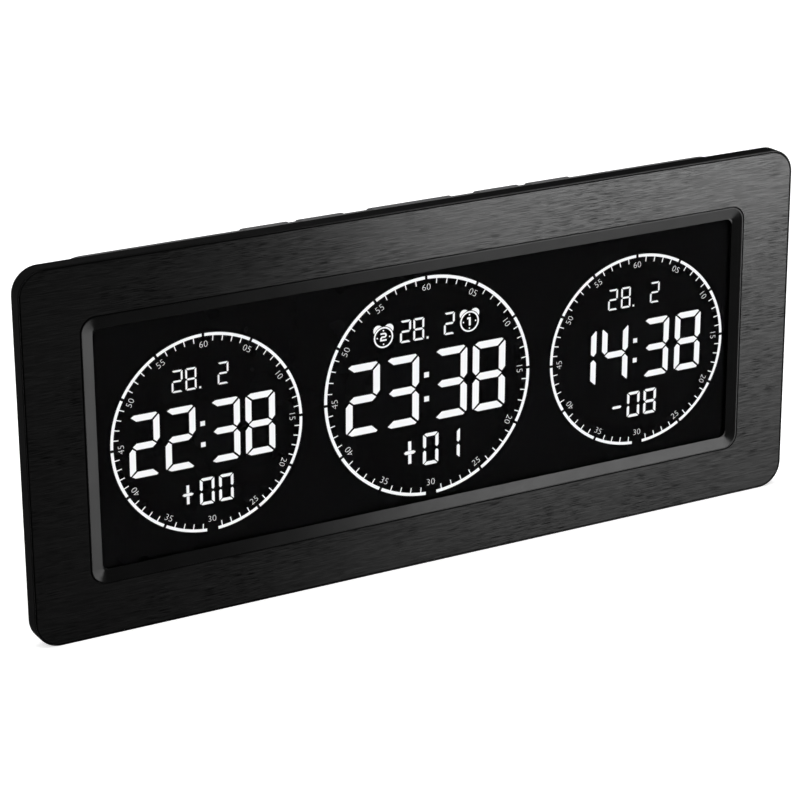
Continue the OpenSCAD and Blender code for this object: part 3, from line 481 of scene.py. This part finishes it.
# What makes the finish of each material slot, and with which numbers
FINISHES = {
    "plate_plastic": (plate_moulding, {}),
    "face_panel": (brushed_panel, {}),
    "window": (clear_pane, dict(colour=grey(0.97), ior=1.0, rough=0.0)),
    "display_glass": (
        display_black,
        dict(colour=(0.0005, 0.0005, 0.0006), rough=0.07, specular=0.02),
    ),
    "rear_glass": (display_black, dict(colour=(0.012, 0.012, 0.016), rough=0.12, specular=0.5)),
    "white_plastic": (sheet_white, dict(colour=(0.86, 0.86, 0.84), rough=0.5)),
    "guide": (clear_pane, dict(colour=(0.93, 0.96, 0.97), ior=1.49, rough=0.02)),
    "strip_board": (sheet_white, dict(colour=(0.8, 0.79, 0.74), rough=0.4)),
    "lamp": (sheet_white, dict(colour=(0.85, 0.75, 0.3), rough=0.3)),
    "inner_plastic": (
        moulded,
        dict(colour=(0.62, 0.63, 0.61), rough=0.45, grain=0.3 * MM, depth=0.003 * MM),
    ),
    "screw_steel": (plain_metal, dict(colour=(0.42, 0.42, 0.43), rough=0.32)),
    "flex": (amber_film, {}),
    "board_green": (circuit_board, {}),
    "chip_black": (
        moulded,
        dict(colour=(0.012, 0.012, 0.013), rough=0.42, grain=0.15 * MM, depth=0.003 * MM),
    ),
    "bright_metal": (plain_metal, dict(colour=(0.66, 0.65, 0.62), rough=0.2)),
    "key_plastic": (
        moulded,
        dict(
            colour=(0.009, 0.009, 0.0095),
            rough=0.48,
            grain=0.2 * MM,
            depth=0.004 * MM,
            specular=0.25,
            edge=0.3 * MM,
        ),
    ),
    "stem_plastic": (
        moulded,
        dict(colour=(0.6, 0.54, 0.42), rough=0.4, grain=0.3 * MM, depth=0.003 * MM),
    ),
    "shell_plastic": (
        moulded,
        dict(
            colour=(0.012, 0.012, 0.0125),
            rough=0.5,
            grain=0.3 * MM,
            depth=0.012 * MM,
            specular=0.25,
            edge=0.3 * MM,
        ),
    ),
    "cell_wrap": (cell_sleeve, {}),
    "lead_cover": (lead_sleeve, {}),
    "foot_plastic": (
        moulded,
        dict(
            colour=(0.013, 0.013, 0.0135),
            rough=0.48,
            grain=0.3 * MM,
            depth=0.01 * MM,
            specular=0.25,
            edge=0.3 * MM,
        ),
    ),
    "pad_rubber": (
        moulded,
        dict(
            colour=grey(0.014),
            rough=0.75,
            grain=0.5 * MM,
            depth=0.03 * MM,
            specular=0.2,
            edge=0.1 * MM,
        ),
    ),
}


def dress_nodes():
    """Gives every CAD node the finish of its material slot."""
    made = {slot: build(slot + "_finish", **look) for slot, (build, look) in FINISHES.items()}
    for part in frame["record"]["subparts"]:
        mesh = nodes[part["node"]].data
        mesh.materials.clear()
        mesh.materials.append(made[part["material_slot"]])
    return made


# Small rounds and chamfers: node, width in metres, segments, and the angle in degrees that an
# edge has to be sharper than
PANEL_CHAMFER = ("face_panel", 0.34 * MM, 1, 50)
ROUNDS = (
    ("key_outer_left", 0.22 * MM, 2, 18),
    ("key_inner_left", 0.22 * MM, 2, 18),
    ("key_centre", 0.22 * MM, 2, 18),
    ("key_inner_right", 0.22 * MM, 2, 18),
    ("key_outer_right", 0.22 * MM, 2, 18),
    ("foot_left", 0.4 * MM, 2, 35),
    ("foot_right", 0.4 * MM, 2, 35),
    ("battery_door", 0.2 * MM, 2, 35),
)


def break_edges(name, width, segments, angle):
    """Rounds the edges of a CAD node that are sharper than angle degrees."""
    weld = nodes[name].modifiers.new("weld", "WELD")
    weld.merge_threshold = WELD
    bevel = nodes[name].modifiers.new("edges", "BEVEL")
    bevel.width, bevel.segments = width, segments
    bevel.limit_method, bevel.angle_limit = "ANGLE", math.radians(angle)
    bevel.use_clamp_overlap = False
    return bevel


def soften_edges():
    """The panel gets a dark chamfer, painted shade that shows as a thin shadow line at its gap,
    mouldings get small rounds.
    """
    nodes["face_panel"].data.materials.append(painted_shade_edge("face_panel_shade_line"))
    # The chamfer's faces take the second slot, a dull dark finish that paints the gap's shadow
    break_edges(*PANEL_CHAMFER).material = 1
    for edges in ROUNDS:
        break_edges(*edges)


# Casing screws

SCREW_RADIUS, SCREW_HEAD = 2.3 * MM, 1.3 * MM
# Half of a screw's outline from its crown down, in radii and heights of the head
SCREW_PROFILE = [
    (0, 0),
    (0.6, 0),
    (0.92, -0.12),
    (1.0, -0.35),
    (1.0, -1.0),
    (0.48, -1.0),
    (0.48, -3.4),
    (0, -3.4),
]
SCREW_STEPS = 40
CROSS_SIZE = (2.6 * MM, 0.62 * MM, 1.8 * MM)
# A hair's turn, which keeps the cross's faces off the head's vertices
CROSS_TURN = 0.0004
# Each screw was left at another angle, in radians
FIRST_SCREW_TURN, NEXT_SCREW_TURN = 0.35, 1.1


def turned_screw(shape):
    """Fills a mesh with a screw whose head points up."""
    mesh = bmesh.new()
    outline = [mesh.verts.new((r * SCREW_RADIUS, 0, z * SCREW_HEAD)) for r, z in SCREW_PROFILE]
    edges = [mesh.edges.new(pair) for pair in zip(outline, outline[1:])]
    bmesh.ops.spin(
        mesh,
        geom=outline + edges,
        axis=(0, 0, 1),
        cent=(0, 0, 0),
        angle=2 * math.pi,
        steps=SCREW_STEPS,
        use_duplicate=False,
    )
    bmesh.ops.remove_doubles(mesh, verts=mesh.verts, dist=WELD)
    bmesh.ops.recalc_face_normals(mesh, faces=mesh.faces)
    mesh.to_mesh(shape)
    mesh.free()


def cross_cutter():
    """A cross of two bars, which cuts a screw's recess."""
    cutter = bpy.data.meshes.new("cross")
    mesh = bmesh.new()
    for turn in (0, math.pi / 2):
        bar = Matrix.Rotation(turn + CROSS_TURN, 4, "Z") @ Matrix.Diagonal((*CROSS_SIZE, 1))
        bmesh.ops.create_cube(mesh, size=1, matrix=bar)
    mesh.to_mesh(cutter)
    mesh.free()
    return cutter


def in_order(mesh):
    """A copy with its vertices and faces in a fixed order, which a boolean leaves to chance."""
    ranked = sorted(range(len(mesh.vertices)), key=lambda i: tuple(mesh.vertices[i].co))
    rank = {old: new for new, old in enumerate(ranked)}
    faces = []
    for face in mesh.polygons:
        corners = [rank[i] for i in face.vertices]
        first = corners.index(min(corners))
        faces.append(corners[first:] + corners[:first])
    copy = bpy.data.meshes.new("screw_in_order")
    copy.from_pydata([mesh.vertices[i].co for i in ranked], [], sorted(faces))
    return copy


def casing_screws(material):
    """The six casing screws, each with a domed head and a cross recess."""
    low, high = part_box("shell_screws")
    shape = bpy.data.meshes.new("casing_screw")
    turned_screw(shape)
    cross = bpy.data.objects.new("cross", cross_cutter())
    screw = bpy.data.objects.new("casing_screws", shape)
    for piece in (cross, screw):
        bpy.context.scene.collection.objects.link(piece)
    cut = screw.modifiers.new("recess", "BOOLEAN")
    cut.object, cut.operation, cut.solver, cut.use_self = cross, "DIFFERENCE", "EXACT", True
    graph = bpy.context.evaluated_depsgraph_get()
    one = in_order(bpy.data.meshes.new_from_object(screw.evaluated_get(graph)))
    screw.modifiers.clear()
    bpy.data.objects.remove(cross)
    all_six = bmesh.new()
    face_back = Matrix.Rotation(-math.pi / 2, 4, "X")
    turn = FIRST_SCREW_TURN
    for x in (low.x + SCREW_RADIUS, high.x - SCREW_RADIUS):
        for z in (low.z + SCREW_RADIUS, (low.z + high.z) / 2, high.z - SCREW_RADIUS):
            place = Matrix.Translation((x, high.y, z))
            copy = one.copy()
            copy.transform(place @ face_back @ Matrix.Rotation(turn, 4, "Z"))
            all_six.from_mesh(copy)
            bpy.data.meshes.remove(copy)
            turn += NEXT_SCREW_TURN
    all_six.to_mesh(shape)
    all_six.free()
    shape.materials.clear()
    shape.materials.append(material)
    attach(screw, "case")
    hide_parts("shell_screws")


# Display artwork, drawn in millimetres from the middle of a dial

ART_THICKNESS = 0.04 * MM
ART_GAP = 0.005 * MM
ART_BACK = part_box("display_front_glass")[0].y - ART_GAP
PLATE_MIDDLE = (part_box("front_bezel")[0].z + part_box("front_bezel")[1].z) / 2
DISC_SIDES = 16
BELL_SIDES = 32
HOOP_SIDES = 48
BAND_STEPS = 16


def turns(sides):
    """The angles of a regular outline's corners."""
    return [2 * math.pi * i / sides for i in range(sides)]


def moved(points, x, z):
    """Points, moved by x and z."""
    return [(x + px, z + pz) for px, pz in points]


def mirror_x(points):
    """An outline, left and right swapped."""
    return [(-px, pz) for px, pz in reversed(points)]


def mirror_z(points):
    """An outline, top and bottom swapped."""
    return [(px, -pz) for px, pz in reversed(points)]


class Artwork:
    """Flat lit shapes on the front of the display glass."""

    def __init__(self, name, dial, wide=1.0, lean=0.0):
        self.name = name
        self.centre = Vector((dial.x * MM, 0, PLATE_MIDDLE + dial.z * MM))
        self.wide, self.lean = wide, lean
        self.mesh = bmesh.new()

    def corner(self, x, z, forward):
        """A vertex at the artwork's back, or forward of it."""
        place = self.centre + Vector(((x * self.wide + z * self.lean) * MM, ART_BACK, z * MM))
        return self.mesh.verts.new(place - Vector((0, forward, 0)))

    def shape(self, points):
        """A prism over an outline that runs counter-clockwise, seen from the front."""
        front, back = [], []
        for x, z in points:
            back.append(self.corner(x, z, 0))
            front.append(self.corner(x, z, ART_THICKNESS))
        self.mesh.faces.new(front)
        self.mesh.faces.new(reversed(back))
        count = len(points)
        for i in range(count):
            j = (i + 1) % count
            self.mesh.faces.new((front[j], front[i], back[i], back[j]))

    def oblong(self, left, bottom, right, top):
        """An upright rectangle."""
        self.shape([(left, bottom), (right, bottom), (right, top), (left, top)])

    def square(self, x, z, side):
        """A square around x and z."""
        half = side / 2
        self.oblong(x - half, z - half, x + half, z + half)

    def disc(self, x, z, radius):
        """A round dot."""
        around = turns(DISC_SIDES)
        self.shape([(x + radius * math.cos(t), z + radius * math.sin(t)) for t in around])

    def hoop(self, x, z, inner, outer):
        """A whole ring, without ends."""
        around = turns(HOOP_SIDES)
        edges = ((inner, 0), (outer, 0), (outer, ART_THICKNESS), (inner, ART_THICKNESS))
        loops = [
            [self.corner(x + r * math.sin(t), z + r * math.cos(t), forward) for t in around]
            for r, forward in edges
        ]
        for near, far in zip(loops, loops[1:] + loops[:1]):
            for i in range(HOOP_SIDES):
                self.mesh.faces.new((far[i - 1], far[i], near[i], near[i - 1]))

    def band(self, inner, outer, start, end):
        """Part of a ring. start and end are angles clockwise from the top, in degrees."""
        span = end - start
        around = [math.radians(start + span * i / BAND_STEPS) for i in range(BAND_STEPS + 1)]
        outside = [(outer * math.sin(t), outer * math.cos(t)) for t in around]
        inside = [(inner * math.sin(t), inner * math.cos(t)) for t in around]
        self.shape(inside + outside[::-1])

    def stroke(self, points, width):
        """A bent bar along points, with mitred corners."""
        points = [Vector(point) for point in points]
        steps = [(b - a).normalized() for a, b in zip(points, points[1:])]
        over, under = [], []
        for i, point in enumerate(points):
            before, after = steps[max(0, i - 1)], steps[min(i, len(steps) - 1)]
            along = (before + after).normalized()
            side = Vector((-along.y, along.x)) * width / 2 / along.dot(before)
            over.append(point + side)
            under.append(point - side)
        self.shape(under + over[::-1])

    def stamp(self, mesh, matrix):
        """Adds a mesh that was drawn upright in its own X and Y, and uses it up."""
        on_glass = Matrix.Translation(self.centre + Vector((0, ART_BACK, 0)))
        stand = Matrix.Rotation(math.pi / 2, 4, "X")
        drawn_out = Matrix.Identity(4)
        drawn_out[0][0], drawn_out[0][1] = self.wide, self.lean
        mesh.transform(on_glass @ stand @ drawn_out @ matrix)
        self.mesh.from_mesh(mesh)
        bpy.data.meshes.remove(mesh)

    def finish(self, material):
        """Turns the shapes into one piece of the case."""
        data = bpy.data.meshes.new(self.name)
        self.mesh.to_mesh(data)
        self.mesh.free()
        piece = bpy.data.objects.new(self.name, data)
        bpy.context.scene.collection.objects.link(piece)
        data.materials.append(material)
        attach(piece, "case")


class Dial:
    """Sizes and places of one round dial in millimetres, with x and z from the plate's middle.

    A figure's size is its width, height and stroke."""

    def __init__(self, name, x, z, radius, wide, large):
        self.name, self.x, self.z, self.radius, self.wide = name, x, z, radius, wide
        self.ring_t = 1.22 if large else 1.12
        self.numeral_h = 2.45 if large else 2.3
        self.numeral_r = radius - (4.33 if large else 4.1)
        self.time_size = (14.5, 28.1, 2.85) if large else (12.1, 24.2, 2.45)
        self.date_size = (4.7, 8.85, 0.8) if large else (4.4, 8.5, 0.7)
        self.code_size = (6.8, 12.9, 1.35) if large else (5.9, 10.5, 1.1)


# The photo shows the rings a touch wider than high and leaning slightly to the left
RING_LEAN = -0.0205
DIALS = {
    "left": Dial("left", -93.05, -1.63, 38.53, 1.005, False),
    "centre": Dial("centre", -0.25, -0.21, 44.03, 1.017, True),
    "right": Dial("right", 94.5, -1.93, 39.41, 1.028, False),
}

# The ring: degrees from one five-minute mark or minute to the next, its openings at the marks,
# the minute ticks inside it and how far they overlap it
MARKS, MARK_STEP, MINUTE_STEP = 12, 30, 6
LOWEST_MARK = 6
GAP_W, LOWER_GAP_W = 1.1, 4.7
TICK_L, TICK_W, TICK_OVERLAP = 2.0, 0.36, 0.2


def half_gap(dial, mark):
    """Half of the ring's opening at a five-minute mark, in degrees."""
    width = LOWER_GAP_W if mark % MARKS == LOWEST_MARK else GAP_W
    return math.degrees(width / 2 / dial.radius)


def draw_ring(dial, material):
    """The ring in twelve bands, with its minute ticks."""
    art = Artwork("dial_" + dial.name + "_ring", dial, dial.wide, RING_LEAN)
    inner = dial.radius - dial.ring_t
    for mark in range(MARKS):
        start = MARK_STEP * mark + half_gap(dial, mark)
        end = MARK_STEP * (mark + 1) - half_gap(dial, mark + 1)
        art.band(inner, dial.radius, start, end)
        for minute in range(1, MARK_STEP // MINUTE_STEP):
            turn = math.radians(MARK_STEP * mark + MINUTE_STEP * minute)
            across = Vector((math.cos(turn), -math.sin(turn))) * TICK_W / 2
            out = Vector((math.sin(turn), math.cos(turn)))
            base, tip = out * (inner - TICK_L), out * (inner + TICK_OVERLAP)
            art.shape([base - across, base + across, tip + across, tip - across])
    art.finish(material)


NUMERAL_WEIGHT = -0.025
NUMERAL_WIDE = 1.04
NUMERAL_STEPS = 3
# Numerals that stand upright in the lower part of a dial, and what is added to their distance
LOWER_NUMERALS = {5: 0.15, 6: -0.7, 7: 0.15}


def numeral_mesh(text, height):
    """Figures as a mesh in X and Y, centred and height millimetres high."""
    curve = bpy.data.curves.new("numeral", "FONT")
    curve.body = text
    curve.offset = NUMERAL_WEIGHT
    curve.align_x = "CENTER"
    curve.resolution_u = NUMERAL_STEPS
    half_depth = 0.5
    curve.extrude = half_depth
    piece = bpy.data.objects.new("numeral", curve)
    bpy.context.scene.collection.objects.link(piece)
    graph = bpy.context.evaluated_depsgraph_get()
    mesh = bpy.data.meshes.new_from_object(piece.evaluated_get(graph))
    bpy.data.objects.remove(piece)
    bpy.data.curves.remove(curve)
    # Joins the font's loose caps to its sides, and turns all faces outwards
    joined = bmesh.new()
    joined.from_mesh(mesh)
    bmesh.ops.remove_doubles(joined, verts=joined.verts, dist=WELD)
    bmesh.ops.recalc_face_normals(joined, faces=joined.faces)
    joined.to_mesh(mesh)
    joined.free()
    xs, ys = [v.co.x for v in mesh.vertices], [v.co.y for v in mesh.vertices]
    scale = height * MM / (max(ys) - min(ys))
    mesh.transform(
        Matrix.Diagonal((scale * NUMERAL_WIDE, scale, ART_THICKNESS, 1))
        @ Matrix.Translation((-(min(xs) + max(xs)) / 2, -(min(ys) + max(ys)) / 2, half_depth))
    )
    return mesh


def draw_numerals(dial, material):
    """The numerals 60, 05 and so on to 55, inside the ring's openings."""
    art = Artwork("dial_" + dial.name + "_numerals", dial, dial.wide, RING_LEAN)
    for mark in range(MARKS):
        turn = math.radians(MARK_STEP * mark)
        mesh = numeral_mesh("%02d" % (5 * mark if mark else 60), dial.numeral_h)
        reach = dial.numeral_r + LOWER_NUMERALS.get(mark, 0)
        place = Matrix.Translation(Vector((math.sin(turn), math.cos(turn), 0)) * reach * MM)
        half_turn = math.pi if mark in LOWER_NUMERALS else 0
        art.stamp(mesh, place @ Matrix.Rotation(half_turn - turn, 4, "Z"))
    art.finish(material)


# Segments that make each figure: a top, b and c right, d bottom, e and f left, g middle
FIGURES = {
    "0": "abcdef",
    "1": "bc",
    "2": "abged",
    "3": "abgcd",
    "4": "fgbc",
    "8": "abcdefg",
    "-": "g",
}
# How far a figure's top leans to the right for each millimetre of height
SLANT = 0.012
# What each bar of a figure is shortened by, which opens the gaps between the bars
SEGMENT_EASE = 0.1


def segments(w, h, s):
    """Outlines of the seven segments of a figure w wide and h high, with strokes s wide.

    The factors of s place each corner, in strokes from the figure's edges or middle."""
    x, z, e = w / 2, h / 2, SEGMENT_EASE
    top = [
        (0.32 * s + e - x, z - 0.3 * s),
        (1.2 * s + e - x, z - s),
        (x - 1.2 * s - e, z - s),
        (x - 0.32 * s - e, z - 0.19 * s),
        (x - 0.55 * s - e, z),
        (0.85 * s + e - x, z),
    ]
    side = [
        (x, 0.8 * s + e),
        (x, z - 0.6 * s - e / 2),
        (x - 0.12 * s, z - 0.38 * s - e / 2),
        (x - s, z - 1.2 * s - e / 2),
        (x - s, 0.64 * s + e),
        (x - 0.5 * s, 0.25 * s + e),
    ]
    middle = [
        (0.53 * s + e - x, 0),
        (1.15 * s + e - x, -s / 2),
        (x - 1.15 * s - e, -s / 2),
        (x - 0.53 * s - e, 0),
        (x - 1.15 * s - e, s / 2),
        (1.15 * s + e - x, s / 2),
    ]
    return {
        "a": top,
        "b": side,
        "c": mirror_z(side),
        "d": mirror_z(top),
        "e": mirror_z(mirror_x(side)),
        "f": mirror_x(side),
        "g": middle,
    }


def draw_figure(art, figure, x, z, w, h, s):
    """One seven-segment figure around x and z."""
    for name, outline in segments(w, h, s).items():
        if name in FIGURES[figure]:
            art.shape([(x + px + pz * SLANT, z + pz) for px, pz in outline])


# Figures and their places from left to right, in millimetres from the dial's middle
TIMES = {
    "left": [("2", -25.3), ("2", -11.0), ("3", 7.0), ("8", 21.4)],
    "centre": [("2", -28.4), ("3", -11.5), ("3", 9.6), ("8", 26.6)],
    "right": [("1", -25.3), ("4", -10.5), ("3", 8.8), ("8", 23.9)],
}
DATES = {
    "left": [("2", -11.6), ("8", -6.1), (".", -2.5), ("2", 6.8)],
    "centre": [("2", -9.9), ("8", -4.2), (".", -0.4), ("2", 9.1)],
    "right": [("2", -11.8), ("8", -5.8), (".", -2.2), ("2", 7.8)],
}
DATE_Z = {"left": 22.1, "centre": 23.7, "right": 22.7}
# Hours ahead of or behind a common time, where the dial has room for a short code
CODES = {
    "left": [("+", -8.8), ("0", -1.0), ("0", 6.8)],
    "centre": [("+", -8.4), ("0", 0.8), ("1", 10.3)],
    "right": [("-", -9.1), ("0", -1.3), ("8", 6.5)],
}
CODE_Z = {"left": -22.5, "centre": -25.3, "right": -22.5}
# Place of a colon, how far its dots stand over and under the middle, and their side
COLONS = {"left": (-2.0, 4.1, 1.85), "centre": (-0.9, 4.85, 2.1), "right": (-1.0, 4.1, 1.85)}
# In strokes: side of a date's dot, start of a plus sign's arms over and under its bar, and how
# far they stay below a figure's height
DATE_DOT = 1.1
PLUS_START, PLUS_END = 0.6, 1.4


def draw_time(dial, material):
    """The large hours and minutes, with their colon."""
    art = Artwork("dial_" + dial.name + "_time", dial)
    for figure, x in TIMES[dial.name]:
        draw_figure(art, figure, x, 0, *dial.time_size)
    x, z, side = COLONS[dial.name]
    art.square(x, z, side)
    art.square(x, -z, side)
    art.finish(material)


def draw_date(dial, material):
    """The small date over the time."""
    art = Artwork("dial_" + dial.name + "_date", dial)
    w, h, s = dial.date_size
    z = DATE_Z[dial.name]
    for figure, x in DATES[dial.name]:
        if figure == ".":
            art.square(x, z - h / 2 + s / 2, DATE_DOT * s)
        else:
            draw_figure(art, figure, x, z, w, h, s)
    art.finish(material)


def draw_code(dial, material):
    """The signed hours under the time."""
    art = Artwork("dial_" + dial.name + "_offset", dial)
    w, h, s = dial.code_size
    z = CODE_Z[dial.name]
    for figure, x in CODES[dial.name]:
        if figure == "+":
            draw_figure(art, "-", x, z, w, h, s)
            for side in (-1, 1):
                low, high = sorted((side * PLUS_START * s, side * (h / 2 - PLUS_END * s)))
                art.oblong(x - s / 2, z + low, x + s / 2, z + high)
        else:
            draw_figure(art, figure, x, z, w, h, s)
    art.finish(material)


# Name, place and figure of each alarm sign of the middle dial
ALARMS = (
    ("alarm_sign_two", -19.35, 22.9, "2"),
    ("alarm_sign_one", 17.95, 23.0, "1"),
)
ALARM_RADIUS, ALARM_RING_T = 4.12, 0.6
BELL_X, BELL_Z, BELL_RADIUS, BELL_GAP = 2.35, 3.05, 1.95, 0.3
DOT_REACH, DOT_RADIUS = 2.68, 0.3
# Outline of a bold 1 and middle line of a bold 2, from the middle of an alarm sign
ALARM_ONE = [
    (-0.29, -1.6),
    (0.55, -1.6),
    (0.55, 1.66),
    (-0.98, 1.66),
    (-1.12, 1.3),
    (-0.88, 0.88),
    (-0.29, 1.02),
]
ALARM_TWO = [
    (-1.25, 1.5),
    (0.6, 1.5),
    (1.05, 1.1),
    (1.05, 0.55),
    (0.6, 0.15),
    (-0.65, 0.15),
    (-1.1, -0.3),
    (-1.1, -1.1),
    (1.3, -1.1),
]
ALARM_STROKE = 0.62


def bell_outline(side):
    """A disc over one shoulder of an alarm sign, cut off where it would come near the ring."""
    middle, clear = Vector((side * BELL_X, BELL_Z)), ALARM_RADIUS + BELL_GAP
    outline = []
    for t in turns(BELL_SIDES):
        point = middle + Vector((math.cos(t), math.sin(t))) * BELL_RADIUS
        outline.append(point if point.length > clear else point.normalized() * clear)
    return outline


def draw_alarm(name, dial, x, z, figure, material):
    """A small alarm clock with two bells, four dots and a plain figure."""
    art = Artwork(name, dial)
    art.hoop(x, z, ALARM_RADIUS - ALARM_RING_T, ALARM_RADIUS)
    for side in (-1, 1):
        art.shape(moved(bell_outline(side), x, z))
    for dx, dz in ((0, 1), (1, 0), (0, -1), (-1, 0)):
        art.disc(x + dx * DOT_REACH, z + dz * DOT_REACH, DOT_RADIUS)
    if figure == "1":
        art.shape(moved(ALARM_ONE, x, z))
    else:
        art.stroke(moved(ALARM_TWO, x, z), ALARM_STROKE)
    art.finish(material)


def draw_dials():
    """All that the display shows."""
    material = lit_segments("lit_segments_finish")
    for dial in DIALS.values():
        for draw in (draw_ring, draw_numerals, draw_time, draw_date, draw_code):
            draw(dial, material)
    for name, x, z, figure in ALARMS:
        draw_alarm(name, DIALS["centre"], x, z, figure, material)


bpy.context.scene.view_settings.view_transform = "Standard"
make_camera()
make_world()
make_floor()
make_lights()
made = dress_nodes()
soften_edges()
casing_screws(made["screw_steel"])
draw_dials()
